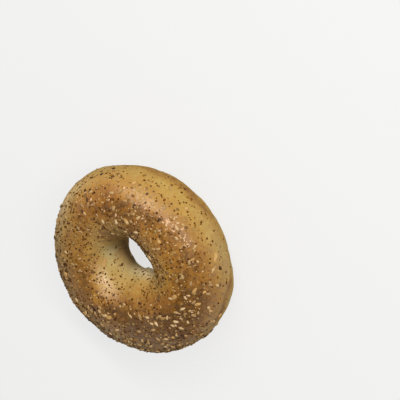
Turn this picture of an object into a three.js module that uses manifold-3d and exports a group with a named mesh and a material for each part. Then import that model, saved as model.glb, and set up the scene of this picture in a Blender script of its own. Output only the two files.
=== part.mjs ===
// A seeded bagel: one ring of baked dough, flat underneath where it lay in the oven, with sesame seeds
// and dried onion flakes baked onto its crust. The dough is uneven, as a hand-rolled ring is: its hole
// is a little off the middle, and its width and height change on the way round.
//
// Millimetres, +Z up. The origin is on the table, under the middle of the ring's outline, and X is the
// ring's longer way across.
//
// A place on the crust is given by two angles. "around" goes round the hole from +X towards +Y. "over"
// goes round the dough's section: 0 is the outer wall, 90 degrees the crown, 180 the wall of the hole.

import * as THREE from "three";
import { mergeVertices } from "three/addons/utils/BufferGeometryUtils.js";
import Module from "manifold-3d";

const wasm = await Module();
wasm.setup();

// Driving dimensions of the dough.
const OUTER_RADIUS = 56;
const HOLE_RADIUS = 13.1;
const CROWN_RISE = 22.4; // from the dough's widest level up to its crown
const WIDEST_LEVEL = 20; // that level's height above the table

// How the dough is uneven: [waves in one turn, cosine part, sine part].
const OUTER_WAVES = [[2, 0.89, -0.26], [3, 0.19, -0.27], [5, 0.17, 0.05]];
const HOLE_WAVES = [[1, 2.23, -1.78], [3, -0.16, -1.0], [4, -0.42, 0.29]];
const CROWN_WAVES = [[1, -0.38, -0.43], [2, -0.24, 0.1]];

// Low swells of the skin: [waves around, waves over, height, phase].
const SWELLS = [[5, 2, 0.26, 0.7], [8, 3, 0.18, 2.1], [3, 4, 0.16, 4.0], [11, 5, 0.1, 5.2]];

// Where the wall of the hole swells: [around, over, spread around, spread over, height], angles in degrees.
const HOLE_SWELLINGS = [
  [132, 198, 20, 16, 2.2],
  [60, 205, 24, 14, 0.5],
];

// Steps of the dough's surface.
const STEPS_AROUND = 66;
const STEPS_OVER = 28;

// Toppings. Each lies flat on the crust, with its middle raised a little above it. start seeds its draws.
const SESAME = { length: 2.9, width: 1.6, thickness: 1.0, raised: 0.13, count: 132, spacing: 2.7, start: 7 };
const FLAKE = { length: 3.9, width: 2.6, thickness: 0.7, raised: 0.125, count: 24, spacing: 5.5, start: 31 };
const TAPER = 0.6; // how much a sesame seed narrows from its middle to either end, before rounding
const RIM_WAVES = [0.22, 0.14]; // how far a flake's rim waves in and out, twice and three times round
const SMALLEST = 0.85; // of a topping's size
const LARGEST = 1.15;
const CLEAR_OF_TABLE = 2.5; // no topping lies lower than this

// Where the toppings lie thick: [around, over, spread around, spread over, weight], angles in degrees.
const SESAME_PATCHES = [
  [190, 80, 24, 15, 1.0],
  [228, 78, 16, 14, 0.5],
  [330, 108, 22, 14, 0.45],
  [285, 95, 30, 20, 0.4],
  [5, 62, 40, 20, 0.36],
  [75, 60, 50, 26, 0.34],
  [130, 48, 40, 30, 0.5],
  [180, 30, 50, 30, 0.24],
  [60, 118, 30, 12, 0.22],
  [275, 50, 45, 16, 0.22],
];
const FLAKE_PATCHES = [
  [125, 75, 55, 30, 1.0],
  [20, 75, 60, 30, 0.5],
  [275, 60, 45, 30, 0.6],
  [200, 40, 50, 30, 0.5],
];

const TURN = 2 * Math.PI;
const RADIANS = Math.PI / 180;

// Sum of a list of waves at an angle round the ring.
function wave(waves, around) {
  return waves.reduce(
    (sum, [turns, cosine, sine]) => sum + cosine * Math.cos(turns * around) + sine * Math.sin(turns * around),
    0,
  );
}

// The middle of the dough's outline, so that the ring can be moved over the origin.
function outlineMiddle() {
  const box = new THREE.Box2();
  const samples = 720;
  for (let i = 0; i < samples; i++) {
    const around = (TURN * i) / samples;
    const reach = OUTER_RADIUS + wave(OUTER_WAVES, around);
    box.expandByPoint(new THREE.Vector2(reach * Math.cos(around), reach * Math.sin(around)));
  }
  return box.getCenter(new THREE.Vector2());
}
const MIDDLE = outlineMiddle();

// Sum of soft round patches at a place. Each has its middle, its spread both ways and its weight there.
function patchSum(patches, around, over) {
  return patches.reduce((sum, [a, o, spreadAround, spreadOver, weight]) => {
    const off = Math.atan2(Math.sin(around - a * RADIANS), Math.cos(around - a * RADIANS)) / RADIANS;
    const up = Math.atan2(Math.sin(over - o * RADIANS), Math.cos(over - o * RADIANS)) / RADIANS;
    return sum + weight * Math.exp(-0.5 * ((off / spreadAround) ** 2 + (up / spreadOver) ** 2));
  }, 0);
}

// A point of the crust: an ellipse carried round the hole, raised by the swells, cut flat by the table.
function crust(around, over) {
  const outer = OUTER_RADIUS + wave(OUTER_WAVES, around);
  const hole = HOLE_RADIUS + wave(HOLE_WAVES, around);
  const rise = CROWN_RISE + wave(CROWN_WAVES, around);
  const swell = SWELLS.reduce(
    (sum, [n, m, height, phase]) => sum + height * Math.cos(n * around + phase) * Math.cos(m * over + phase),
    patchSum(HOLE_SWELLINGS, around, over),
  );
  const reach = (outer + hole) / 2 + ((outer - hole) / 2 + swell) * Math.cos(over);
  const height = WIDEST_LEVEL + (rise + swell) * Math.sin(over);
  return new THREE.Vector3(
    reach * Math.cos(around) - MIDDLE.x,
    reach * Math.sin(around) - MIDDLE.y,
    Math.max(0, height),
  );
}

// A frame on the crust: X runs round the ring, Z points out of the crust.
function frameOn(around, over) {
  const step = 0.01;
  const along = crust(around + step, over).sub(crust(around - step, over)).normalize();
  const across = crust(around, over + step).sub(crust(around, over - step));
  const out = along.clone().cross(across).normalize();
  const side = out.clone().cross(along);
  return new THREE.Matrix4().makeBasis(along, side, out).setPosition(crust(around, over));
}

// A solid from a closed geometry.
function solid(geometry) {
  geometry.deleteAttribute("normal");
  geometry.deleteAttribute("uv");
  const merged = mergeVertices(geometry, 1e-4);
  return new wasm.Manifold(
    new wasm.Mesh({
      numProp: 3,
      vertProperties: merged.attributes.position.array,
      triVerts: new Uint32Array(merged.index.array),
    }),
  );
}

// The ring of dough: a torus whose points are moved onto the crust.
function dough() {
  const ring = new THREE.TorusGeometry(OUTER_RADIUS, HOLE_RADIUS, STEPS_OVER, STEPS_AROUND);
  const { position, uv } = ring.attributes;
  for (let i = 0; i < position.count; i++) {
    const p = crust(TURN * uv.getX(i), TURN * uv.getY(i));
    position.setXYZ(i, p.x, p.y, p.z);
  }
  return solid(ring);
}

// A sesame seed: a flat teardrop, narrow at one end.
function sesameSeed(size) {
  const seed = new THREE.SphereGeometry(0.5, 6, 3).rotateX(Math.PI / 2).rotateY(Math.PI / 2);
  const { position } = seed.attributes;
  for (let i = 0; i < position.count; i++) {
    const taper = 1 - TAPER * position.getX(i);
    position.setXYZ(
      i,
      position.getX(i) * SESAME.length * size,
      position.getY(i) * SESAME.width * size * taper,
      position.getZ(i) * SESAME.thickness * size,
    );
  }
  return seed;
}

// A flake of dried onion: a thin chip with an uneven rim, whose waves turn with the size.
function onionFlake(size) {
  const chip = new THREE.CylinderGeometry(0.5, 0.4, 1, 6).rotateX(Math.PI / 2);
  const { position } = chip.attributes;
  for (let i = 0; i < position.count; i++) {
    const angle = Math.atan2(position.getY(i), position.getX(i));
    const uneven = 1 + RIM_WAVES[0] * Math.cos(2 * angle + 6 * size) + RIM_WAVES[1] * Math.cos(3 * angle);
    position.setXYZ(
      i,
      position.getX(i) * FLAKE.length * size * uneven,
      position.getY(i) * FLAKE.width * size * uneven,
      position.getZ(i) * FLAKE.thickness,
    );
  }
  return chip;
}

// The same draws every time: a linear congruential generator.
function drawsFrom(start) {
  let state = start;
  return () => {
    state = (Math.imul(state, 1664525) + 1013904223) >>> 0;
    return state / 2 ** 32;
  };
}

// Places for a topping: drawn all over the crust, kept where the topping lies thick and has room.
function places(topping, patches) {
  const draw = drawsFrom(topping.start);
  const kept = [];
  while (kept.length < topping.count) {
    const around = TURN * draw();
    const over = TURN * draw();
    const chance = draw();
    const turn = TURN * draw();
    const size = SMALLEST + (LARGEST - SMALLEST) * draw();
    const point = crust(around, over);
    const wide = Math.hypot(point.x, point.y) / OUTER_RADIUS;
    if (chance > wide * patchSum(patches, around, over)) continue;
    if (point.z < CLEAR_OF_TABLE) continue;
    if (kept.some((other) => other.point.distanceTo(point) < topping.spacing)) continue;
    kept.push({ around, over, turn, size, point });
  }
  return kept;
}

// The solids of one topping, each laid on the crust and turned its own way.
function scatter(topping, shape, patches) {
  return places(topping, patches).map(({ around, over, turn, size }) => {
    const laid = shape(size).rotateZ(turn).translate(0, 0, topping.raised);
    return solid(laid.applyMatrix4(frameOn(around, over)));
  });
}

const joined = [
  dough(),
  ...scatter(SESAME, sesameSeed, SESAME_PATCHES),
  ...scatter(FLAKE, onionFlake, FLAKE_PATCHES),
].reduce((whole, piece) => whole.add(piece));

// A manifold-3d solid as a geometry that three.js can draw.
function geometryOf(body) {
  const { vertProperties, triVerts } = body.getMesh();
  const geometry = new THREE.BufferGeometry();
  geometry.setAttribute("position", new THREE.BufferAttribute(vertProperties, 3));
  geometry.setIndex(new THREE.BufferAttribute(triVerts, 1));
  geometry.computeVertexNormals();
  return geometry;
}

const bagel = new THREE.Mesh(
  geometryOf(joined),
  new THREE.MeshStandardMaterial({ color: 0xb98d50, roughness: 0.5, metalness: 0 }),
);
bagel.name = "bagel";

const part = new THREE.Group();
part.name = "seeded_bagel";
part.add(bagel);

export default part;
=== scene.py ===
"""The looks of a seeded bagel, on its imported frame.

The bagel is one ring of boiled and baked dough. Its crown is browned, its walls and the wall of its
hole are pale, and its underside is flat where it lay in the oven. Sesame and poppy seeds, garlic
granules, onion flakes and strips and toasted bits are baked onto it. The crust stands for the whole
CAD solid.

Shapes are worked out in millimetres, +Z up, and put into the meshes in metres. A place on the crust is
given by two angles. "around" goes round the hole from +X towards +Y. "over" goes round the dough's
section: 0 is the outer wall, 90 degrees the crown, 180 the wall of the hole, 270 the underside. The
tables give both in degrees, and the functions take them in radians.
"""

from math import cos, radians, sin

import bpy
import numpy as np
from mathutils import Matrix, Vector


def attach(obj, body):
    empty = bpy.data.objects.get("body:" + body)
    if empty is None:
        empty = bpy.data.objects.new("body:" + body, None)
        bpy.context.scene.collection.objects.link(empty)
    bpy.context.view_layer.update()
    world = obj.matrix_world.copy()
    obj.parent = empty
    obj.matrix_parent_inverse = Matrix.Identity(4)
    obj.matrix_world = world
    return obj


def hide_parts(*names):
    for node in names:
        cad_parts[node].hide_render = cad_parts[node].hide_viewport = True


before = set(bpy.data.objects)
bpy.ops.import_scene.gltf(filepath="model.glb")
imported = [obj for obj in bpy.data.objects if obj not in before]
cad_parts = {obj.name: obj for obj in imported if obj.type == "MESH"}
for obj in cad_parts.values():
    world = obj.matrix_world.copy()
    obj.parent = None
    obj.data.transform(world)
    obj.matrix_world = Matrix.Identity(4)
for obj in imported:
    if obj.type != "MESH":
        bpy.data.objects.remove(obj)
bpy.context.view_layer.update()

MM = 0.001
TURN = 2 * np.pi

# Driving dimensions of the dough, the same as the solid's.
OUTER_RADIUS = 56
HOLE_RADIUS = 13.1
CROWN_RISE = 22.4  # from the dough's widest level up to its crown
WIDEST_LEVEL = 20  # that level's height above the table

# How the dough is uneven: (waves in one turn, cosine part, sine part).
OUTER_WAVES = [(2, 0.89, -0.26), (3, 0.19, -0.27), (5, 0.17, 0.05)]
HOLE_WAVES = [(1, 2.23, -1.78), (3, -0.16, -1.0), (4, -0.42, 0.29)]
CROWN_WAVES = [(1, -0.38, -0.43), (2, -0.24, 0.1)]

# Low swells of the skin: (waves around, waves over, height, phase).
SWELLS = [(5, 2, 0.26, 0.7), (8, 3, 0.18, 2.1), (3, 4, 0.16, 4.0), (11, 5, 0.1, 5.2)]

# Where the wall of the hole swells: (around, over, spread around, spread over, height).
HOLE_SWELLINGS = [(132, 198, 20, 16, 2.2), (60, 205, 24, 14, 0.5)]

# Steps of the crust's surface, closer together on the crown and wider apart underneath.
STEPS_AROUND = 520
STEPS_OVER = 190
CROWDING = 0.3

# The skin's low relief, in millimetres.
LUMPS = [(13.0, 0.34), (5.5, 0.2), (2.6, 0.12), (1.5, 0.07)]  # (size of the lumps, their height)
BLISTER_CELL = 2.5  # each cube of this size holds one blister
BLISTER_RADIUS = 0.95
BLISTER_HEIGHT = 0.17
BLISTER_SINK = 0.6  # heights are drawn from this share of it below the skin, so that some don't show
BLISTERS_BELOW = 0.35  # share of the height that is left underneath
BLISTERS_SPREAD = 60  # degrees that they stay high for on either side of the crown
WRINKLES_OVER = (195, 30)  # where the hole's wall is wrinkled: the middle and spread, in degrees
WRINKLE_SIZE = 3.2
WRINKLE_HEIGHT = 0.35
WRINKLE_STRETCH = 4  # how much longer wrinkles are up and down than across
GLAZE_SMOOTHING = 0.5  # share of the relief that is lost under the glaze
TABLE_ROUNDING = 0.7  # how softly the wall turns into the flat underside
TABLE_DROP = 0.02  # sets the rounded underside down onto the table again

# The seam where the rope of dough was joined: it slants over the outer wall, in degrees.
SEAM_AROUND = 216
SEAM_OVER = 7
SEAM_SLANT = 0.95  # degrees down the wall for each degree round the ring
SEAM_SPREAD = 19  # how far it reaches round the ring, either way
SEAM_WAVER = (4, 9, 1.4)  # how far its line wavers, how often in one turn, and the phase
SEAM_STEP = 1.6  # how far the skin above the seam stands out of the skin below it, in millimetres
SEAM_SHARPNESS = 1.6  # the step is made over about twice this many degrees
SEAM_FADE = 24  # and dies away over these, above and below
SEAM_LIP = (0.2, 3.5, 3)  # the lip that curls out: its share of the step, its middle and its width
SEAM_GROOVE = (-0.12, -2.6, 2.4)  # the groove below it

# Starts of the draws. Each size of lump and each part of a blister has the next start after these.
LUMP_START = 11
BLISTER_START = 50
WRINKLE_START = 71
EDGE_START = 31
SHAPES_AFTER_PLACES = 100  # from the start of a topping's places to that of its shapes

# Toppings, in millimetres. "spacing" is the least room between the middles of two, "start" starts their
# draws, and "raised" is how far a middle lies above the skin. Tones run from 0, the darkest of a topping's
# colours, to 1, the palest, and each piece draws its own.
SMALLEST = 0.85  # sizes are drawn between these shares of a topping's measures
LARGEST = 1.15
CLEAR_OF_TABLE = 2.5  # no topping lies lower than this

# Sesame seeds and onion flakes of the solid, as it lays them, and the further ones between them.
SESAME = {
    "length": 2.9,
    "width": 1.6,
    "thickness": 1.0,
    "raised": 0.13,
    "count": 132,
    "spacing": 2.7,
    "start": 7,
}
SEED_TAPER = 0.6  # how much a sesame seed narrows towards one end
SEED_DARKER = 0.35  # taken off the tone of every seed
MORE_SESAME = {"count": 18, "spacing": 2.1, "start": 107, "size": 1.0}
FLAKE = {
    "length": 3.9,
    "width": 2.6,
    "thickness": 0.7,
    "raised": 0.125,
    "count": 24,
    "spacing": 5.5,
    "start": 31,
}
FLAKE_RIM = (0.22, 0.14)  # how far a flake's rim waves in and out, twice and three times round
FLAKE_CURL = 0.3  # how far the rim curls up and down, twice round
MORE_FLAKES = {"count": 30, "spacing": 4.5, "start": 102, "size": 0.7}

# Crumbs. "widths" holds the smallest and the largest. For a width of 1, "stretch" is the greatest length,
# "flat" the height, "uneven" how far points are moved, and "raised" is as above.
POPPY = {
    "count": 1600,
    "spacing": 0.9,
    "start": 103,
    "widths": (0.6, 1.3),
    "stretch": 1.35,
    "flat": 0.6,
    "uneven": 0.1,
    "raised": 0.05,
}
POPPY_DARKER = 0.45  # taken off the tone in the dust, which is partly painted shade
TOASTED = {
    "count": 290,
    "spacing": 1.5,
    "start": 104,
    "widths": (0.8, 1.9),
    "stretch": 1.7,
    "flat": 0.5,
    "uneven": 0.3,
    "raised": 0.03,
}
TOASTED_DARKER = 0.3  # taken off the tone in the dark patches
GRANULE = {
    "count": 950,
    "spacing": 1.0,
    "start": 105,
    "widths": (0.55, 1.4),
    "stretch": 1.5,
    "flat": 0.5,
    "uneven": 0.3,
    "raised": 0.04,
}
GRANULE_DARKER = 0.45  # taken off the tone of every granule
CLUSTER_PALER = 0.3  # added to the tone in a cluster, partly as a painted highlight
CLUSTER_LARGER = 0.45  # share by which granules are larger there
SMALL_CRUMBS = 1.6  # power of the widths' draws: above 1, small crumbs are commoner than large ones

STRIP = {"count": 46, "spacing": 2.6, "start": 106}
STRIP_WIDTH = 0.55
STRIP_RADII = (1.2, 2.2)  # of the arcs that the strips are bent into
STRIP_BENDS = (0.5, 1.2)  # half of each arc's angle, in radians
STRIP_RAISED = 0.05
STRIP_LIFT = (0.1, 0.25)  # how far a strip is lifted at its middle, and further towards its ends

# Toppings gather in clumps: how strongly, and the clumps' size in millimetres.
CLUMPING = 0.9
CLUMP_SIZE = 6.5
CLUMP_MIDDLE = 0.75  # a place's chance is multiplied by this, midway between clumps and bare skin
TRIES = 60  # places drawn for each that is wanted

# Where toppings lie thick: (around, over, spread around, spread over, weight), angles in degrees.
# The first table of sesame seeds is the solid's, the second is for the further ones.
SESAME_PATCHES = [
    (190, 80, 24, 15, 1.0),
    (228, 78, 16, 14, 0.5),
    (330, 108, 22, 14, 0.45),
    (285, 95, 30, 20, 0.4),
    (5, 62, 40, 20, 0.36),
    (75, 60, 50, 26, 0.34),
    (130, 48, 40, 30, 0.5),
    (180, 30, 50, 30, 0.24),
    (60, 118, 30, 12, 0.22),
    (275, 50, 45, 16, 0.22),
]
MORE_SESAME_PATCHES = [
    (172, 68, 22, 12, 1.0),
    (318, 103, 14, 10, 0.5),
    (110, 96, 14, 12, 0.8),
]
FLAKE_PATCHES = [
    (125, 75, 55, 30, 1.0),
    (20, 75, 60, 30, 0.5),
    (275, 60, 45, 30, 0.6),
    (200, 40, 50, 30, 0.5),
]
POPPY_PATCHES = [
    (272, 119, 30, 9, 1.8),
    (264, 133, 30, 7, 0.9),
    (110, 66, 50, 22, 0.6),
    (110, 104, 16, 14, 0.5),
    (188, 126, 20, 12, 0.6),
    (172, 46, 18, 22, 0.7),
    (30, 95, 45, 22, 0.42),
    (325, 90, 40, 26, 0.5),
    (275, 80, 40, 26, 0.6),
    (228, 82, 30, 22, 0.5),
    (150, 132, 56, 24, 0.75),
    (175, 162, 44, 18, 0.5),
    (160, 28, 24, 16, 0.4),
    (50, 132, 50, 22, 0.36),
    (90, 168, 24, 14, 0.22),
    (292, 14, 34, 22, 0.37),
    (40, 130, 12, 9, 0.25),
    (162, 136, 24, 9, 0.45),
    (20, 56, 40, 26, 0.5),
    (220, 20, 30, 20, 0.05),
]
TOASTED_PATCHES = [
    (298, 26, 30, 16, 0.3),
    (110, 73, 50, 20, 0.55),
    (178, 52, 26, 20, 0.7),
    (330, 92, 35, 22, 0.4),
    (20, 80, 40, 25, 0.4),
    (280, 72, 50, 26, 0.35),
    (150, 140, 60, 22, 0.3),
    (246, 113, 7, 7, 2.0),
    (184, 101, 6, 5, 2.0),
    (117, 109, 7, 4, 4.0),
    (300, 107, 6, 4, 3.0),
    (180, 8, 12, 8, 1.2),
    (330, 112, 12, 8, 1.0),
    (270, 119, 26, 6, 1.2),
    (28, 104, 5, 4, 2.5),
    (165, 131, 22, 9, 0.25),
    (266, 132, 30, 7, 0.9),
    (226, 79, 4, 4, 2.0),
    (179, 28, 8, 5, 1.5),
    (34, 123, 6, 4, 1.5),
    (40, 126, 14, 9, 0.2),
]
GRANULE_PATCHES = [
    (272, 116, 30, 9, 1.0),
    (277, 56, 40, 22, 0.5),
    (75, 128, 22, 12, 0.5),
    (150, 138, 60, 24, 0.45),
    (170, 62, 26, 22, 0.2),
    (112, 60, 55, 22, 0.22),
    (110, 100, 16, 14, 0.4),
    (345, 78, 50, 26, 0.3),
    (300, 22, 24, 16, 0.12),
    (40, 128, 14, 10, 0.25),
    (264, 132, 30, 7, 0.6),
]
# Clusters of larger, paler granules where the highlights fall: their paleness is partly a painted highlight.
GRANULE_CLUSTERS = [
    (298, 44, 7, 5, 0.7),
    (277, 47, 4, 3, 2.5),
    (263, 41, 5, 4, 2.5),
    (80, 133, 13, 5, 1.0),
]
STRIP_PATCHES = [
    (262, 62, 16, 12, 1.0),
    (70, 122, 22, 8, 0.6),
    (120, 110, 40, 10, 0.5),
    (180, 68, 34, 14, 0.3),
    (320, 70, 40, 20, 0.4),
]

# Where toppings have another tone: patches as above. The weights are added to the tone, and those of
# DARK_TOASTED are shares of what is taken off it.
BRIGHT_SESAME = [
    (184, 80, 28, 16, 0.6),
    (318, 103, 20, 12, 1.0),
]
PALE_FLAKES = [
    (285, 40, 50, 28, 0.7),
]
# Where these lie on the highlights, at 277 and 75 degrees around, the paler tone is partly a painted
# highlight.
BRIGHT_GRANULES = [
    (272, 116, 30, 9, 0.2),
    (277, 47, 20, 9, 0.7),
    (277, 60, 44, 24, 0.22),
    (200, 68, 40, 20, 0.3),
    (75, 128, 24, 12, 0.6),
    (150, 140, 60, 26, 0.5),
    (330, 70, 44, 30, 0.4),
]
DARK_TOASTED = [
    (117, 109, 9, 6, 1.0),
    (184, 101, 8, 6, 1.0),
    (246, 113, 9, 8, 1.0),
    (28, 104, 7, 6, 1.0),
    (270, 121, 34, 14, 0.8),
    (226, 79, 7, 6, 1.0),
    (179, 28, 12, 9, 1.0),
    (34, 123, 9, 6, 1.0),
]

# Browning of the crust, from PALEST, barely baked dough, to 1, dark.
PALEST = -0.2
PALE = 0.2  # the walls
GOLDEN = 0.22  # added above the dough's widest level
GOLDEN_EDGE = (4, 14)  # where that comes in: the middle, in degrees of upward slope, and the width
CROWN = 0.24  # added in a band over the crown
CROWN_FROM = (45, 20, 290)  # the band's outer edge: degrees over, how far it swings, where it is highest
CROWN_TO = (117, 11, 310)  # its edge on the hole's side
CROWN_SOFTNESS = 9  # the width of both edges
EDGE_SWING = 11  # how far the edges wander, in degrees
EDGE_SIZE = 7  # size of that wandering, in millimetres
UNDERSIDE = 0.25  # added underneath
UNDERSIDE_EDGE = (55, 8)  # where that comes in, in degrees of downward slope
SEAM_BROWNING = 0.12  # added to the skin under the seam's lip: browner crust, and painted shade from the lip
SEAM_BROWNED = (-7, 6)  # its middle and width, in degrees above the seam's line

# Places browner or paler than that: patches as above, the weight being browning gained or lost. A few of them
# are painted shade and painted highlights, marked where they stand.
BAKE_PATCHES = [
    # The outer wall.
    (0, 30, 14, 12, -0.08),
    (0, 32, 16, 12, -0.24),
    (200, 28, 14, 10, -0.34),
    (205, 5, 6, 9, 0.34),
    (210, 26, 9, 8, 0.14),
    (223, -9, 5, 7, 0.3),
    (228, 26, 16, 10, 0.1),
    # Painted shadow along the foot of the outer wall, as if a neighbouring bagel shaded it.
    (288, -18, 34, 12, 0.48),
    (300, 28, 14, 10, 0.08),
    # The shoulder, between the wall and the crown.
    (0, 45, 30, 18, -0.14),
    (15, 46, 32, 16, -0.3),
    (20, 60, 14, 10, -0.08),
    (28, 60, 22, 10, -0.18),
    (120, 66, 40, 14, -0.25),
    (140, 60, 14, 10, -0.36),
    (160, 68, 12, 9, 0.18),
    (187, 66, 20, 14, 0.12),
    (202, 60, 10, 8, 0.3),
    (203, 66, 14, 14, 0.12),
    (208, 44, 10, 9, 0.1),
    (212, 50, 28, 26, 0.4),
    (240, 60, 10, 8, -0.1),
    (255, 48, 24, 14, 0.12),
    (262, 44, 14, 10, 0.15),
    (270, 62, 26, 14, 0.08),
    (300, 56, 9, 14, 0.1),
    # Painted highlight: paler skin where the highlight falls on the shoulder.
    (302, 45, 10, 7, -0.12),
    (320, 66, 40, 22, 0.16),
    (325, 58, 30, 18, 0.13),
    (340, 60, 16, 26, 0.13),
    (342, 46, 14, 10, 0.18),
    # The crown.
    (5, 82, 26, 20, -0.12),
    (20, 105, 12, 10, 0.12),
    (22, 76, 10, 8, 0.08),
    (35, 106, 12, 12, -0.05),
    (60, 92, 12, 8, 0.1),
    (62, 106, 18, 9, 0.1),
    (97, 89, 9, 7, 0.12),
    (100, 89, 12, 8, 0.26),
    (100, 106, 10, 7, -0.12),
    (110, 84, 20, 12, -0.12),
    (130, 91, 20, 7, 0.1),
    (140, 76, 10, 7, 0.1),
    (140, 103, 34, 12, 0.14),
    (150, 95, 44, 12, 0.08),
    (160, 75, 9, 7, 0.2),
    (165, 78, 14, 10, 0.2),
    (168, 84, 24, 16, 0.2),
    (172, 82, 20, 12, 0.14),
    (178, 106, 12, 8, -0.14),
    (181, 73, 9, 7, -0.16),
    (182, 91, 9, 7, 0.32),
    (203, 90, 10, 8, -0.14),
    (220, 90, 10, 8, 0.1),
    (238, 98, 14, 12, -0.2),
    (290, 85, 10, 8, -0.15),
    (293, 78, 9, 7, -0.12),
    (300, 90, 14, 10, 0.21),
    (300, 107, 6, 4, 0.25),
    (318, 106, 16, 9, -0.16),
    # The rim of the hole.
    (0, 112, 14, 10, -0.14),
    (20, 122, 10, 8, -0.08),
    (40, 128, 10, 12, 0.16),
    (40, 132, 10, 10, 0.17),
    (62, 114, 26, 10, 0.1),
    # Painted highlight: paler skin where the highlight falls on the rim of the hole.
    (78, 134, 14, 7, -0.38),
    (82, 121, 14, 8, 0.06),
    (117, 110, 7, 4, 0.5),
    (150, 121, 48, 16, 0.36),
    (200, 108, 30, 16, -0.12),
    (200, 120, 18, 10, 0.1),
    (222, 143, 12, 12, -0.2),
    (232, 140, 16, 20, -0.15),
    (260, 119, 10, 8, 0.12),
    (282, 119, 12, 8, -0.2),
    (320, 121, 10, 8, -0.07),
    (342, 140, 12, 14, 0.16),
    (345, 138, 20, 14, 0.14),
    # The wall of the hole.
    (18, 156, 16, 12, -0.14),
    (20, 154, 12, 10, -0.1),
    (30, 154, 50, 16, -0.3),
    (80, 150, 12, 8, 0.12),
    # Painted light: the lower wall of the hole made paler against the shade that falls there.
    (145, 190, 44, 14, -0.42),
    (190, 160, 40, 24, -0.12),
    (190, 178, 36, 14, -0.26),
    (195, 174, 18, 12, -0.16),
]

# Places of other finishes, painted shade and a painted highlight among them: patches as above, the weight
# being how much of the finish there is.
#
# Painted shade: the dark depth of the hole's wall, darkened where shade falls under its overhang.
DEEP_PATCHES = [
    (342, 150, 18, 14, 0.55),
    (2, 172, 20, 15, 0.82),
    (32, 192, 22, 14, 0.72),
    (68, 206, 24, 15, 0.85),
    (82, 190, 14, 14, 0.3),
]
# Golden, more yellow skin.
WARM_PATCHES = [
    (222, 62, 26, 26, 1.0),
    (265, 62, 34, 18, 0.8),
    (300, 80, 26, 16, 0.8),
    (242, 76, 26, 14, 0.4),
    (146, 108, 46, 12, 1.0),
    (60, 108, 26, 12, 0.9),
    (5, 98, 30, 20, 0.1),
    (200, 84, 18, 14, 0.7),
    (195, 172, 30, 16, 0.4),
    (330, 68, 34, 22, 0.45),
    (292, 2, 24, 14, 0.25),
    (222, 42, 16, 14, 0.5),
    (240, 75, 20, 14, 0.3),
]
# Redder skin.
RUDDY_PATCHES = [
    (185, 155, 42, 20, 0.9),
    (330, 72, 36, 26, 0.4),
    (15, 46, 34, 16, 0.5),
    (352, 32, 26, 20, 0.8),
    (212, 115, 26, 22, 0.6),
    (35, 195, 40, 20, 0.6),
    (80, 133, 14, 8, 0.5),
    (95, 0, 55, 18, 0.6),
]
# Glaze, where the skin is smoother and glossier, and paler as a painted highlight.
GLAZE_PATCHES = [
    (302, 45, 12, 8, 0.8),
    (277, 47, 5, 4, 0.25),
    (264, 41, 5, 4, 0.25),
    (80, 132, 16, 7, 1.0),
    (60, 137, 12, 6, 0.45),
    (102, 125, 12, 6, 0.5),
]
# Dusty skin, veiled by crumbs too fine to be pieces, its greyish colour partly painted shade on the rims that
# face away from the light.
DUST_PATCHES = [
    (112, 62, 44, 20, 0.9),
    (158, 44, 22, 22, 0.75),
    (30, 55, 40, 18, 0.5),
    (235, -2, 20, 13, 0.35),
    (282, 108, 34, 16, 0.5),
    (338, 130, 24, 16, 0.5),
    (120, 84, 34, 12, 0.3),
    (197, 27, 18, 14, 0.7),
    (230, 18, 20, 14, 0.3),
    (178, 106, 16, 9, 0.35),
]

# Tones, as (place from 0 to 1, red, green, blue), the colours as 0 to 255 on screen.
CRUST_TONES = [
    (0.0, 206, 190, 150),
    (0.17, 188, 170, 118),
    (0.38, 175, 148, 86),
    (0.58, 165, 128, 62),
    (0.77, 141, 99, 47),
    (1.0, 90, 62, 36),
]
SESAME_TONES = [(0, 158, 124, 78), (0.5, 186, 152, 102), (1, 210, 180, 134)]
POPPY_TONES = [(0, 66, 36, 2), (0.5, 98, 58, 8), (1, 134, 90, 26)]
TOASTED_TONES = [(0, 64, 38, 24), (0.4, 95, 64, 38), (1, 132, 96, 56)]
GARLIC_TONES = [(0, 152, 122, 68), (0.5, 176, 141, 86), (1, 206, 167, 126)]
STRIP_TONES = [(0, 110, 76, 42), (0.5, 170, 130, 78), (1, 204, 168, 114)]
ONION_TONES = [(0, 104, 70, 32), (0.5, 142, 102, 52), (1, 188, 149, 92)]
# The dust's greyish colour, which partly stands for painted shade.
DUST_COLOUR = (132, 108, 84)
FRECKLE_COLOUR = (98, 62, 22)
# The pale colour of the painted highlight under the glaze.
GLAZE_COLOUR = (221, 187, 152)

# What the crust's colour is multiplied by where it is warm or ruddy, and by the painted shade deep in the
# hole.
WARM_TINT = (1.06, 0.97, 0.43, 1)
RUDDY_TINT = (1.12, 0.95, 0.86, 1)
DEEP_TINT = (0.27, 0.23, 0.195, 1)

# The crust's mottling: broad, middle and fine, sizes in millimetres.
MOTTLE_SIZES = (16, 5, 1.8)
MOTTLE_STRENGTHS = (0.36, 0.3, 0.56)
MOTTLING_ON_PALE = 0.45  # share of the mottling on skin of no browning
MOTTLING_BY_BROWNING = 0.55  # share added on the brownest skin

# How thick the dust, partly painted shade, and the glaze's painted highlight lie, and how strongly the middle
# and the fine mottling vary that.
DUST_THICKNESS = 0.7
DUST_BY_MIDDLE = 1.5
DUST_BY_FINE = 1.0
GLAZE_THICKNESS = 0.3
GLAZE_BY_FINE = 1.6

# Freckles: spots where their own noise and what they gather on add up past an edge.
FRECKLE_SIZE = 1.1
FRECKLE_LEVEL = 0.12
FRECKLES_BY_BROWNING = 0.25
FRECKLES_BY_DUST = 0.1
FRECKLES_BY_MIDDLE = 0.4
FRECKLE_EDGE = (0.3, 0.45)
FRECKLE_STRENGTH = 0.6

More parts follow.
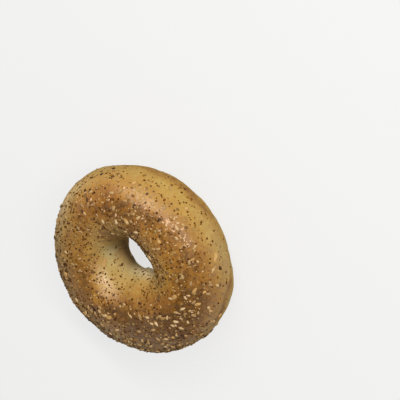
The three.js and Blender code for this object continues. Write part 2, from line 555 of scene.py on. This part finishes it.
# Gloss and grain of the crust.
ROUGHNESS = 0.42
ROUGHNESS_BY_MIDDLE = 0.3
GLAZE_GLOSS = 0.34  # taken off the roughness under the glaze
GRAIN = [(1.6, 1.2), (0.8, 0.4)]  # (size in millimetres, strength)
GRAIN_STRENGTH = 0.32
GRAIN_DEPTH = 0.8
GLAZE_FILLING = 0.45  # share of the grain that the glaze fills
TOPPING_MOTTLING = 0.5  # how strongly a topping's grain varies its tone

# The camera, and the place it looks at. Angles in degrees, lengths in millimetres.
CAMERA_ELEVATION = 47.5
CAMERA_ROLL = 128.7
CAMERA_DISTANCE = 700
FRAME_WIDTH = 400 / 1.746  # 400 pixels at 1.746 to a millimetre, at the ring's middle
SIDE_SHIFT = 33.4  # the picture's middle lies this far right of the ring's middle
UP_SHIFT = 34.3
SENSOR_WIDTH = 36

# The studio: lengths in metres, the light's power in watts.
FLOOR_HALF = 3.0
FLOOR_GREY = 0.17
FLOOR_GLOW = 0.7
SKY_STRENGTH = 0.5
KEY_DIRECTION = (0.15, -0.76, 0.62)
KEY_DISTANCE = 1.2
KEY_WIDE = 1.4
KEY_HIGH = 0.11
KEY_POWER = 15.5
KEY_COLOUR = (1.0, 0.975, 0.94)


# Waves, patches and noise.


def wave(waves, around):
    """Sum of waves at an angle round the ring: each has its own whole number of waves in one turn."""
    return sum(c * np.cos(n * around) + s * np.sin(n * around) for n, c, s in waves)


def turned(angle, middle):
    """How far an angle is from a middle, in degrees, the short way round."""
    return (np.degrees(angle) - middle + 180) % 360 - 180


def bell(amount, middle, width):
    """A bell curve: 1 at the middle, dying away on both sides over about that width."""
    return np.exp(-0.5 * ((amount - middle) / width) ** 2)


def step_up(amount, width):
    """A smooth step from 0 to 1 as the amount passes 0, over about twice that width."""
    return (1 + np.tanh(amount / width)) / 2


def patches(table, around, over):
    """Sum of soft round patches at a place: each is a bell curve both ways, times its weight."""
    total = 0
    for middle_around, middle_over, spread_around, spread_over, weight in table:
        off = turned(around, middle_around) / spread_around
        up = turned(over, middle_over) / spread_over
        total = total + weight * np.exp(-0.5 * (off * off + up * up))
    return total


def share(table, around, over):
    """How far a place is in a table's patches, from 0 to 1."""
    return np.clip(patches(table, around, over), 0, 1)


def corner_draw(x, y, z, start):
    """A repeatable draw from 0 to 1 for each whole-numbered corner, its numbers mixed by multiplying."""
    mixed = x * 73856093 ^ y * 19349663 ^ z * 83492791 ^ start * 2654435761
    mixed = (mixed ^ (mixed >> 13)) * 1274126177 & 0xFFFFFFFF
    mixed = (mixed ^ (mixed >> 16)) * 2246822519 & 0xFFFFFFFF
    return (mixed ^ (mixed >> 15) & 0xFFFFFFFF) / 2**32


def noise(points, size, start):
    """Smooth noise from -1 to 1: draws at the corners of cubes of that size, blended across each cube."""
    scaled = points / size
    low = np.floor(scaled).astype(np.int64)
    part = scaled - low
    part = part * part * (3 - 2 * part)
    total = 0
    for corner in np.ndindex(2, 2, 2):
        weight = np.prod(np.where(corner, part, 1 - part), axis=-1)
        x, y, z = np.moveaxis(low + corner, -1, 0)
        total = total + weight * corner_draw(x, y, z, start)
    return 2 * total - 1


def blisters(points):
    """Small round blisters, from 0 to 1 high: each cube of the cell's size holds one, some of no height."""
    low = np.floor(points / BLISTER_CELL).astype(np.int64)
    highest = np.zeros(points.shape[:-1])
    for corner in np.ndindex(3, 3, 3):
        x, y, z = np.moveaxis(low + np.array(corner) - 1, -1, 0)
        draws = [corner_draw(x, y, z, BLISTER_START + k) for k in range(4)]
        middle = (np.stack([x, y, z], -1) + np.stack(draws[:3], -1)) * BLISTER_CELL
        near = np.linalg.norm(points - middle, axis=-1) / BLISTER_RADIUS
        tall = np.clip(draws[3] * (1 + BLISTER_SINK) - BLISTER_SINK, 0, 1)
        highest = np.maximum(highest, tall * np.clip(1 - near * near, 0, 1) ** 2)
    return highest


# Shape of the dough.


def outline_middle():
    """The middle of the dough's outline, so that the ring can be moved over the origin."""
    samples = 720
    around = np.arange(samples) * TURN / samples
    reach = OUTER_RADIUS + wave(OUTER_WAVES, around)
    points = np.stack([reach * np.cos(around), reach * np.sin(around)])
    return (points.min(1) + points.max(1)) / 2


MIDDLE = outline_middle()


def dough(around, over):
    """The bare ring before the table flattens it: an ellipse carried round the hole, raised by swells."""
    outer = OUTER_RADIUS + wave(OUTER_WAVES, around)
    hole = HOLE_RADIUS + wave(HOLE_WAVES, around)
    rise = CROWN_RISE + wave(CROWN_WAVES, around)
    swell = sum(h * np.cos(n * around + p) * np.cos(m * over + p) for n, m, h, p in SWELLS)
    swell = swell + patches(HOLE_SWELLINGS, around, over)
    reach = (outer + hole) / 2 + ((outer - hole) / 2 + swell) * np.cos(over)
    height = WIDEST_LEVEL + (rise + swell) * np.sin(over)
    x = reach * np.cos(around) - MIDDLE[0]
    y = reach * np.sin(around) - MIDDLE[1]
    return np.stack(np.broadcast_arrays(x, y, height), -1)


def unit(vectors):
    """Vectors of length one."""
    return vectors / np.linalg.norm(vectors, axis=-1, keepdims=True)


def axes_on_dough(around, over):
    """Three unit directions at a place: along the ring, across it, and out of the dough."""
    step = 0.01
    along = unit(dough(around + step, over) - dough(around - step, over))
    across = dough(around, over + step) - dough(around, over - step)
    out = unit(np.cross(along, across))
    return along, np.cross(out, along), out


def above_seam(around, over):
    """How far a place lies above the seam's slanting line, in degrees, and how much seam there is."""
    along = turned(around, SEAM_AROUND)
    waver, times, phase = SEAM_WAVER
    off = turned(over, SEAM_OVER) + SEAM_SLANT * along + waver * np.sin(times * around + phase)
    return off, np.exp(-0.5 * (along / SEAM_SPREAD) ** 4)


def seam(around, over):
    """The seam's relief: a step, its upper edge curling out over a groove, dying away on both sides."""
    off, there = above_seam(around, over)
    step = 0.5 * np.tanh(off / SEAM_SHARPNESS) * bell(off, 0, SEAM_FADE)
    curl = sum(height * bell(off, middle, width) for height, middle, width in (SEAM_LIP, SEAM_GROOVE))
    return SEAM_STEP * there * (step + curl)


def relief(around, over, points):
    """How far the skin stands out of the bare ring.

    It is the sum of lumps of several sizes, blisters that are highest on the crown, and wrinkles on the
    wall of the hole, all lower under the glaze, and of the seam.
    """
    height = sum(h * noise(points, size, LUMP_START + k) for k, (size, h) in enumerate(LUMPS))
    blistered = BLISTERS_BELOW + (1 - BLISTERS_BELOW) * bell(turned(over, 90), 0, BLISTERS_SPREAD)
    height = height + BLISTER_HEIGHT * blistered * blisters(points)
    drawn = points * np.array([1, 1, 1 / WRINKLE_STRETCH])
    wrinkled, spread = WRINKLES_OVER
    in_hole = bell(turned(over, wrinkled), 0, spread)
    height = height + WRINKLE_HEIGHT * in_hole * noise(drawn, WRINKLE_SIZE, WRINKLE_START)
    return height * (1 - GLAZE_SMOOTHING * share(GLAZE_PATCHES, around, over)) + seam(around, over)


def skin(around, over):
    """The finished skin: the ring pushed out by its relief, then pressed flat by the table.

    The table turns a height h into (h + the root of h squared plus its rounding squared) / 2.
    """
    bare = dough(around, over)
    out = axes_on_dough(around, over)[2]
    points = bare + out * relief(around, over, bare)[..., None]
    high = points[..., 2]
    points[..., 2] = (high + np.sqrt(high * high + TABLE_ROUNDING**2)) / 2 - TABLE_DROP
    return points


def band_edge(edge, around):
    """Degrees over at an edge of the crown's band: its middle plus a swing that is highest at one place."""
    middle, swing, highest = edge
    return middle + swing * np.cos(around - np.radians(highest))


def browning(around, over, points):
    """Browning and painted light: pale walls, golden above, a browner band over the crown with wandering
    edges, browner skin with painted shade under the seam's lip, and patches, a few of them painted shade and
    highlights.
    """
    lift = 90 - np.abs(turned(over, 90))  # degrees that the skin looks up: 0 on the walls, 90 on the crown
    high = turned(over, 90) + 90 + EDGE_SWING * noise(points, EDGE_SIZE, EDGE_START)
    crown = step_up(high - band_edge(CROWN_FROM, around), CROWN_SOFTNESS)
    crown = crown * step_up(band_edge(CROWN_TO, around) - high, CROWN_SOFTNESS)
    golden = step_up(lift - GOLDEN_EDGE[0], GOLDEN_EDGE[1])
    underside = step_up(-lift - UNDERSIDE_EDGE[0], UNDERSIDE_EDGE[1])
    off, there = above_seam(around, over)
    below_seam = there * bell(off, *SEAM_BROWNED)
    bake = PALE + GOLDEN * golden + CROWN * crown + UNDERSIDE * underside + SEAM_BROWNING * below_seam
    return np.clip(bake + patches(BAKE_PATCHES, around, over), PALEST, 1)


# Meshes.


def piece(name, points, faces, material, slot, **numbers):
    """A smooth mesh object: points in millimetres, faces of equal corner counts, numbers for each point."""
    mesh = bpy.data.meshes.new(name)
    count, corners = faces.shape
    mesh.vertices.add(len(points))
    mesh.vertices.foreach_set("co", (points * MM).ravel())
    mesh.loops.add(count * corners)
    mesh.loops.foreach_set("vertex_index", faces.ravel())
    mesh.polygons.add(count)
    mesh.polygons.foreach_set("loop_start", np.arange(0, count * corners, corners))
    mesh.update(calc_edges=True)
    mesh.polygons.foreach_set("use_smooth", np.ones(count, bool))
    for key, values in numbers.items():
        attribute = mesh.attributes.new(key, "FLOAT", "POINT")
        attribute.data.foreach_set("value", values.astype(np.float32))
    mesh.materials.append(material)
    made = bpy.data.objects.new(name, mesh)
    bpy.context.scene.collection.objects.link(made)
    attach(made, "root")
    return made


def make_crust(material):
    """The crust: the skin on a grid of both angles, closed both ways, with its finishes at each point."""
    around = (np.arange(STEPS_AROUND) * TURN / STEPS_AROUND)[:, None]
    over = (np.arange(STEPS_OVER) * TURN / STEPS_OVER)[None, :]
    over = over + CROWDING * np.cos(over)
    around, over = np.broadcast_arrays(around, over)
    points = skin(around, over)
    index = np.arange(around.size).reshape(around.shape)
    right = np.roll(index, -1, 0)
    faces = np.stack([index, right, np.roll(right, -1, 1), np.roll(index, -1, 1)], -1)
    crust = piece(
        "crust",
        points.reshape(-1, 3),
        faces.reshape(-1, 4),
        material,
        "crust",
        # Browning with some painted light in it, dust that is partly painted shade, painted shade deep in the
        # hole, and the glaze with its painted highlight.
        bake=browning(around, over, points).ravel(),
        dust=patches(DUST_PATCHES, around, over).ravel(),
        warm=patches(WARM_PATCHES, around, over).ravel(),
        deep=patches(DEEP_PATCHES, around, over).ravel(),
        ruddy=patches(RUDDY_PATCHES, around, over).ravel(),
        glaze=patches(GLAZE_PATCHES, around, over).ravel(),
    )
    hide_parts("bagel")


def ball(rows, columns):
    """A closed ball of triangles, 1 across: rings of points along x between two poles."""
    angle = np.arange(1, rows) * np.pi / rows
    turn = np.arange(columns) * TURN / columns
    angle, turn = np.meshgrid(angle, turn, indexing="ij")
    ring = np.stack([-np.cos(angle), np.sin(angle) * np.cos(turn), np.sin(angle) * np.sin(turn)], -1) / 2
    points = np.concatenate([[[-0.5, 0, 0]], ring.reshape(-1, 3), [[0.5, 0, 0]]])
    index = 1 + np.arange((rows - 1) * columns).reshape(rows - 1, columns)
    beside = np.roll(index, -1, 1)
    first = np.stack([np.zeros(columns, int), beside[0], index[0]], -1)
    last = np.stack([np.full(columns, len(points) - 1), index[-1], beside[-1]], -1)
    one = np.stack([index[:-1], beside[:-1], beside[1:]], -1).reshape(-1, 3)
    two = np.stack([index[:-1], beside[1:], index[1:]], -1).reshape(-1, 3)
    return points, np.concatenate([first, one, two, last])


def lay(name, slot, material, shapes, faces, places, raised, paler=0):
    """Joins many small shapes into one mesh, each laid on the skin at its place and turned its own way.

    places holds the angles around, over and of the turn on the skin. Each shape has its own tone.
    """
    around, over, turn = places
    along, side, out = axes_on_dough(around, over)
    x = along * np.cos(turn)[:, None] + side * np.sin(turn)[:, None]
    y = side * np.cos(turn)[:, None] - along * np.sin(turn)[:, None]
    where = skin(around, over) + out * np.broadcast_to(raised, around.shape)[:, None]
    points = where[:, None] + np.einsum("nki,nij->nkj", shapes, np.stack([x, y, out], 1))
    count, each = shapes.shape[:2]
    joined = faces[None] + (np.arange(count) * each)[:, None, None]
    tone = np.random.default_rng(count).random(count) + paler
    piece(name, points.reshape(-1, 3), joined.reshape(-1, 3), material, slot, tone=np.repeat(tone, each))


# Places of the toppings.


def solid_places(topping, table):
    """The solid's own places of a topping: the same draws, so that each keeps its place and size."""
    state = topping["start"]

    def draw():
        nonlocal state
        state = (state * 1664525 + 1013904223) % 2**32
        return state / 2**32

    kept = []
    where = []
    while len(kept) < topping["count"]:
        around = TURN * draw()
        over = TURN * draw()
        chance = draw()
        turn = TURN * draw()
        size = SMALLEST + (LARGEST - SMALLEST) * draw()
        point = dough(around, over)
        point[2] = max(0, point[2])
        wide = np.hypot(point[0], point[1]) / OUTER_RADIUS
        if chance > wide * patches(table, around, over) or point[2] < CLEAR_OF_TABLE:
            continue
        if where and np.min(np.linalg.norm(np.array(where) - point, axis=1)) < topping["spacing"]:
            continue
        kept.append((around, over, turn, size))
        where.append(point)
    return np.array(kept).T


def more_places(topping, table, taken=()):
    """Further places drawn all over the crust, kept where the topping lies thick and has room."""
    count = topping["count"]
    start = topping["start"]
    rng = np.random.default_rng(start)
    around = rng.random(count * TRIES) * TURN
    over = rng.random(count * TRIES) * TURN
    points = dough(around, over)
    wide = np.hypot(points[:, 0], points[:, 1]) / OUTER_RADIUS
    clumps = np.maximum(0, CLUMP_MIDDLE + CLUMPING * noise(points, CLUMP_SIZE, start))
    wanted = rng.random(count * TRIES) < wide * clumps * patches(table, around, over)
    wanted &= points[:, 2] > CLEAR_OF_TABLE
    room = list(taken)
    kept = []
    for i in np.flatnonzero(wanted):
        if len(kept) == count:
            break
        if room and np.min(np.linalg.norm(np.array(room) - points[i], axis=1)) < topping["spacing"]:
            continue
        room.append(points[i])
        kept.append(i)
    size = SMALLEST + (LARGEST - SMALLEST) * rng.random(len(kept))
    turn = rng.random(len(kept)) * TURN
    return np.array([around[kept], over[kept], turn, size])


def all_places(topping, table, further, further_table):
    """The solid's own places of a topping, and further ones between them, of another size."""
    own = solid_places(topping, table)
    more = more_places(further, further_table, dough(own[0], own[1]))
    more[3] *= further["size"]
    return np.concatenate([own, more], 1)


# Toppings.


def make_sesame(material):
    """Sesame seeds: flat teardrops, the solid's own and more between them."""
    around, over, turn, size = all_places(SESAME, SESAME_PATCHES, MORE_SESAME, MORE_SESAME_PATCHES)
    points, faces = ball(rows=10, columns=12)
    shapes = np.repeat(points[None], len(size), 0) * size[:, None, None]
    shapes[..., 0] *= SESAME["length"]
    shapes[..., 1] *= SESAME["width"] * (1 - SEED_TAPER * points[:, 0])
    shapes[..., 2] *= SESAME["thickness"]
    paler = patches(BRIGHT_SESAME, around, over) - SEED_DARKER
    places = (around, over, turn)
    lay("sesame_seeds", "sesame", material, shapes, faces, places, SESAME["raised"], paler)


def make_flakes(material):
    """Onion flakes: thin curled chips with an uneven rim, the solid's own and more between them.

    A chip is a ball pressed flat: a share r of the way out to its rim, it is the root of 1 - r^4 as thick
    as at its middle. The rim is waved by cosines of two and three times the angle round it, and curled by
    one of twice that angle. The waves turn with the size, so that no two chips are alike.
    """
    around, over, turn, size = all_places(FLAKE, FLAKE_PATCHES, MORE_FLAKES, FLAKE_PATCHES)
    points, faces = ball(rows=10, columns=16)
    x, y, z = points.T
    angle = np.arctan2(y, x)
    reach = np.clip(2 * np.hypot(x, y), 0, 1)
    flat = 0.5 * np.sign(z) * np.sqrt(1 - reach**4)
    size = size[:, None]
    uneven = 1 + FLAKE_RIM[0] * np.cos(2 * angle + 6 * size) + FLAKE_RIM[1] * np.cos(3 * angle)
    curl = FLAKE_CURL * reach**2 * np.cos(2 * angle + 9 * size)
    long = x * FLAKE["length"] * size * uneven
    wide = y * FLAKE["width"] * size * uneven
    shapes = np.stack([long, wide, flat * FLAKE["thickness"] + curl], -1)
    paler = patches(PALE_FLAKES, around, over)
    places = (around, over, turn)
    lay("onion_flakes", "onion", material, shapes, faces, places, FLAKE["raised"], paler)


def crumbs(topping, count):
    """Uneven little lumps, and their widths.

    Each is a ball whose points are moved in or out at random, drawn out along x and flattened along z.
    """
    rng = np.random.default_rng(topping["start"] + SHAPES_AFTER_PLACES)
    points, faces = ball(rows=6, columns=8)
    shapes = np.repeat(points[None], count, 0)
    shapes = shapes * (1 + topping["uneven"] * rng.uniform(-1, 1, (count, len(points), 1)))
    narrowest, widest = topping["widths"]
    width = narrowest + (widest - narrowest) * rng.random(count) ** SMALL_CRUMBS
    shapes[..., 0] *= (width * rng.uniform(1, topping["stretch"], count))[:, None]
    shapes[..., 1] *= width[:, None]
    shapes[..., 2] *= (width * topping["flat"])[:, None]
    return shapes, faces, width


def make_poppy(material):
    """Poppy seeds: small dark lumps, scattered most thickly of all, and darkest in the dust, which is partly
    painted shade.
    """
    places = more_places(POPPY, POPPY_PATCHES)[:3]
    around, over, turn = places
    shapes, faces, width = crumbs(POPPY, len(turn))
    paler = -POPPY_DARKER * share(DUST_PATCHES, around, over)
    lay("poppy_seeds", "poppy", material, shapes, faces, places, width * POPPY["raised"], paler)


def make_toasted(material):
    """Toasted bits of onion: dark uneven crumbs, darkest where they gather."""
    places = more_places(TOASTED, TOASTED_PATCHES)[:3]
    around, over, turn = places
    shapes, faces, width = crumbs(TOASTED, len(turn))
    paler = -TOASTED_DARKER * share(DARK_TOASTED, around, over)
    lay("toasted_bits", "onion", material, shapes, faces, places, width * TOASTED["raised"], paler)


def make_granules(material):
    """Garlic granules: pale uneven grains, larger and paler in their clusters, whose paleness is partly a
    painted highlight.
    """
    places = more_places(GRANULE, GRANULE_PATCHES + GRANULE_CLUSTERS)[:3]
    around, over, turn = places
    shapes, faces, width = crumbs(GRANULE, len(turn))
    clustered = share(GRANULE_CLUSTERS, around, over)
    shapes = shapes * (1 + CLUSTER_LARGER * clustered)[:, None, None]
    paler = patches(BRIGHT_GRANULES, around, over) + CLUSTER_PALER * clustered - GRANULE_DARKER
    lay("garlic_granules", "onion", material, shapes, faces, places, width * GRANULE["raised"], paler)


def make_strips(material):
    """Curled strips of onion: tubes bent into arcs, thin at both ends, which stand off the skin."""
    places = more_places(STRIP, STRIP_PATCHES)[:3]
    count = places.shape[1]
    rng = np.random.default_rng(STRIP["start"] + SHAPES_AFTER_PLACES)
    points, faces = ball(rows=9, columns=5)
    bend = 2 * points[:, 0] * rng.uniform(*STRIP_BENDS, (count, 1))
    radius = rng.uniform(*STRIP_RADII, (count, 1))
    reach = radius + STRIP_WIDTH * points[:, 1]
    height = STRIP_WIDTH * points[:, 2] + STRIP_LIFT[0] + STRIP_LIFT[1] * bend * bend
    shapes = np.stack([reach * np.sin(bend), reach * np.cos(bend) - radius, height], -1)
    lay("onion_strips", "onion", material, shapes, faces, places, STRIP_RAISED)


# Materials.


def colour(red, green, blue):
    """A colour for a shader from its 0 to 255 screen values."""
    screen = np.array([red, green, blue]) / 255
    linear = np.where(screen <= 0.04045, screen / 12.92, ((screen + 0.055) / 1.055) ** 2.4)
    return (*linear.tolist(), 1.0)


def new_material(name):
    """A named material, its node tree and its shader."""
    made = bpy.data.materials.new(name)
    made.use_nodes = True
    tree = made.node_tree
    return made, tree, tree.nodes["Principled BSDF"]


def set_sockets(shader, settings):
    """Sets a shader's own sockets, for what is the same all over."""
    for name, value in settings.items():
        shader.inputs[name].default_value = value


def add_node(tree, kind, settings=None, **inputs):
    """A new shader node. An input is named, or numbered as _0; a socket is linked to it, a value is set."""
    made = tree.nodes.new(kind)
    for key, value in (settings or {}).items():
        setattr(made, key, value)
    for key, value in inputs.items():
        socket = made.inputs[int(key[1:])] if key[1:].isdigit() else made.inputs[key.replace("_", " ")]
        if isinstance(value, bpy.types.NodeSocket):
            tree.links.new(value, socket)
        else:
            socket.default_value = value
    return made


def place_on(tree):
    """Object coordinates, in metres."""
    return add_node(tree, "ShaderNodeTexCoord").outputs["Object"]


def carried(tree, name):
    """A number that the mesh carries at each point."""
    return add_node(tree, "ShaderNodeAttribute", {"attribute_name": name}).outputs["Fac"]


def maths(tree, operation, one, two=0.0, three=0.0):
    """The result of a Math node."""
    return add_node(tree, "ShaderNodeMath", {"operation": operation}, _0=one, _1=two, _2=three).outputs[0]


def blend(tree, factor, one, two, mode="MIX"):
    """Two colours mixed."""
    settings = {"data_type": "RGBA", "blend_type": mode}
    return add_node(tree, "ShaderNodeMix", settings, _0=factor, _6=one, _7=two).outputs[2]


def ramp(tree, factor, tones):
    """A colour ramp through the tones."""
    made = add_node(tree, "ShaderNodeValToRGB", Fac=factor)
    elements = made.color_ramp.elements
    while len(elements) < len(tones):
        elements.new(0.5)
    for element, (place, *shade) in zip(elements, tones):
        element.position = place
        element.color = colour(*shade)
    return made.outputs[0]


def speckle(tree, where, size, detail=2.0):
    """Noise from 0 to 1 whose lumps are about that many millimetres across."""
    return add_node(tree, "ShaderNodeTexNoise", Vector=where, Scale=1 / (size * MM), Detail=detail).outputs[0]


def add_up(tree, start, parts):
    """A value plus what each other one has above 0.5, the middle of the noises, times a strength."""
    total = start
    for value, strength in parts:
        total = maths(tree, "MULTIPLY_ADD", maths(tree, "SUBTRACT", value, 0.5), strength, total)
    return total


def smooth_step(tree, value, low, high):
    """0 below the low value, 1 above the high one, and a smooth rise between them."""
    settings = {"interpolation_type": "SMOOTHSTEP"}
    return add_node(tree, "ShaderNodeMapRange", settings, Value=value, From_Min=low, From_Max=high).outputs[0]


def rough_normal(tree, height, strength, depth):
    """The normal of skin that a texture makes uneven, to a depth in millimetres."""
    return add_node(tree, "ShaderNodeBump", Height=height, Strength=strength, Distance=depth * MM).outputs[0]


def baked_colour(tree, bake, mottles):
    """The crust's tone by its browning with the painted light in it, and by a mottling that is stronger on
    browner skin.
    """
    mottling = add_up(tree, 0.0, zip(mottles, MOTTLE_STRENGTHS))
    strength = maths(tree, "MULTIPLY_ADD", bake, MOTTLING_BY_BROWNING, MOTTLING_ON_PALE)
    shade = maths(tree, "MULTIPLY_ADD", mottling, strength, bake)
    place = maths(tree, "DIVIDE", maths(tree, "SUBTRACT", shade, PALEST), 1 - PALEST)
    return ramp(tree, place, CRUST_TONES)


def crust_colour(tree, where, mottles, glaze):
    """The baked colour, tinted warm or ruddy, dusted and freckled, with painted shade in the dust and deep in
    the hole, and a painted highlight under the glaze.
    """
    middle, fine = mottles[1:]
    bake = carried(tree, "bake")
    dust = carried(tree, "dust")
    base = baked_colour(tree, bake, mottles)
    base = blend(tree, carried(tree, "warm"), base, WARM_TINT, "MULTIPLY")
    base = blend(tree, carried(tree, "ruddy"), base, RUDDY_TINT, "MULTIPLY")
    # Dust, its greyish colour partly painted shade.
    thickness = add_up(tree, DUST_THICKNESS, [(middle, DUST_BY_MIDDLE), (fine, DUST_BY_FINE)])
    base = blend(tree, maths(tree, "MULTIPLY", dust, thickness), base, colour(*DUST_COLOUR))
    spots = speckle(tree, where, FRECKLE_SIZE, detail=1.0)
    gathered = [(bake, FRECKLES_BY_BROWNING), (dust, FRECKLES_BY_DUST), (middle, FRECKLES_BY_MIDDLE)]
    freckles = smooth_step(tree, add_up(tree, FRECKLE_LEVEL, [*gathered, (spots, 1)]), *FRECKLE_EDGE)
    base = blend(tree, maths(tree, "MULTIPLY", freckles, FRECKLE_STRENGTH), base, colour(*FRECKLE_COLOUR))
    # Painted shade deep in the hole's wall.
    base = blend(tree, carried(tree, "deep"), base, DEEP_TINT, "MULTIPLY")
    # Painted highlight: a pale colour under the glaze.
    thickness = add_up(tree, GLAZE_THICKNESS, [(fine, GLAZE_BY_FINE)])
    return blend(tree, maths(tree, "MULTIPLY", glaze, thickness), base, colour(*GLAZE_COLOUR))


def crust_material():
    """Baked crust: satin, with a fine grain, smoother and glossier under the glaze."""
    made, tree, shader = new_material("baked crust")
    where = place_on(tree)
    mottles = [speckle(tree, where, size) for size in MOTTLE_SIZES]
    glaze = carried(tree, "glaze")
    tree.links.new(crust_colour(tree, where, mottles, glaze), shader.inputs["Base Color"])
    unglazed = maths(tree, "MULTIPLY_ADD", mottles[1], ROUGHNESS_BY_MIDDLE, ROUGHNESS)
    rough = maths(tree, "MULTIPLY_ADD", glaze, -GLAZE_GLOSS, unglazed)
    tree.links.new(rough, shader.inputs["Roughness"])
    grain = add_up(tree, 0.0, [(speckle(tree, where, size), strength) for size, strength in GRAIN])
    grain = maths(tree, "MULTIPLY", grain, maths(tree, "MULTIPLY_ADD", glaze, -GLAZE_FILLING, 1))
    tree.links.new(rough_normal(tree, grain, GRAIN_STRENGTH, GRAIN_DEPTH), shader.inputs["Normal"])
    set_sockets(
        shader,
        {
            "Specular IOR Level": 0.28,
            "Subsurface Weight": 0.1,
            "Subsurface Radius": (1.0, 0.6, 0.3),
            "Subsurface Scale": 1.5 * MM,
        },
    )
    return made


def topping_material(name, tones, roughness, grain, coat=0.0, shine=0.5):
    """A topping's finish: each piece has its own tone, varied by a grain of a size in millimetres."""
    made, tree, shader = new_material(name)
    mottled = speckle(tree, place_on(tree), grain)
    shade = add_up(tree, carried(tree, "tone"), [(mottled, TOPPING_MOTTLING)])
    tree.links.new(ramp(tree, shade, tones), shader.inputs["Base Color"])
    tree.links.new(rough_normal(tree, mottled, strength=0.3, depth=0.1), shader.inputs["Normal"])
    set_sockets(
        shader,
        {
            "Roughness": roughness,
            "Specular IOR Level": shine,
            "Coat Weight": coat,
            "Coat Roughness": 0.3,
        },
    )
    return made


def floor_material():
    """Pale matt floor, which gives most of its own light, so that shadows on it are faint."""
    made, _, shader = new_material("pale floor")
    set_sockets(
        shader,
        {
            "Base Color": (FLOOR_GREY, FLOOR_GREY, FLOOR_GREY, 1),
            "Emission Color": (1, 1, 1, 1),
            "Emission Strength": FLOOR_GLOW,
            "Roughness": 0.9,
            "Specular IOR Level": 0.1,
        },
    )
    return made


# Studio.


def make_camera():
    """The camera looks down at the ring from -Y, rolled about its own line of sight."""
    elevation = radians(CAMERA_ELEVATION)
    roll = radians(CAMERA_ROLL)
    back = Vector((0, -cos(elevation), sin(elevation)))
    level = Vector((1, 0, 0))
    upright = back.cross(level)
    picture_right = cos(roll) * level - sin(roll) * upright
    picture_up = sin(roll) * level + cos(roll) * upright
    ring_middle = Vector((-MIDDLE[0], -MIDDLE[1], WIDEST_LEVEL))
    place = ring_middle + back * CAMERA_DISTANCE
    aim = ring_middle + picture_right * SIDE_SHIFT + picture_up * UP_SHIFT
    z = (place - aim).normalized()
    x = picture_up.cross(z).normalized()
    turned_to = Matrix((x, z.cross(x), z)).transposed().to_4x4()
    data = bpy.data.cameras.new("camera")
    data.sensor_width = SENSOR_WIDTH
    data.lens = SENSOR_WIDTH * CAMERA_DISTANCE / FRAME_WIDTH
    data.clip_start = 0.01
    camera = bpy.data.objects.new("camera", data)
    camera.matrix_world = Matrix.Translation(place * MM) @ turned_to
    bpy.context.scene.collection.objects.link(camera)
    bpy.context.scene.camera = camera


def make_floor():
    """A square of pale floor, which glossy skin doesn't mirror."""
    mesh = bpy.data.meshes.new("floor")
    corners = [(FLOOR_HALF * x, FLOOR_HALF * y, 0) for x, y in ((-1, -1), (1, -1), (1, 1), (-1, 1))]
    mesh.from_pydata(corners, [], [(0, 1, 2, 3)])
    mesh.materials.append(floor_material())
    floor = bpy.data.objects.new("floor", mesh)
    bpy.context.scene.collection.objects.link(floor)
    floor.visible_glossy = False


def make_sky():
    """A plain white sky all round, which glossy skin doesn't mirror either."""
    world = bpy.data.worlds.new("studio")
    bpy.context.scene.world = world
    world.use_nodes = True
    set_sockets(world.node_tree.nodes["Background"], {"Color": (1, 1, 1, 1), "Strength": SKY_STRENGTH})
    world.cycles_visibility.glossy = False


def make_key_light():
    """A long, narrow light from the camera's side, which looks at the origin."""
    data = bpy.data.lights.new("key light", "AREA")
    data.shape = "RECTANGLE"
    data.size = KEY_WIDE
    data.size_y = KEY_HIGH
    data.energy = KEY_POWER
    data.color = KEY_COLOUR
    light = bpy.data.objects.new("key light", data)
    away = Vector(KEY_DIRECTION).normalized()
    facing = away.to_track_quat("Z", "Y").to_matrix().to_4x4()
    light.matrix_world = Matrix.Translation(away * KEY_DISTANCE) @ facing
    bpy.context.scene.collection.objects.link(light)


make_camera()
make_floor()
make_sky()
make_key_light()
bpy.context.scene.view_settings.view_transform = "Standard"

make_crust(crust_material())
make_sesame(topping_material("sesame", SESAME_TONES, roughness=0.45, grain=0.9, coat=0.15))
make_poppy(topping_material("poppy", POPPY_TONES, roughness=0.7, grain=0.3, shine=0.1))
make_toasted(topping_material("toasted onion", TOASTED_TONES, roughness=0.6, grain=0.6, shine=0.2))
make_granules(topping_material("garlic", GARLIC_TONES, roughness=0.6, grain=0.6, shine=0.3))
make_strips(topping_material("curled onion", STRIP_TONES, roughness=0.5, grain=0.6))
make_flakes(topping_material("onion", ONION_TONES, roughness=0.6, grain=0.9, shine=0.2))
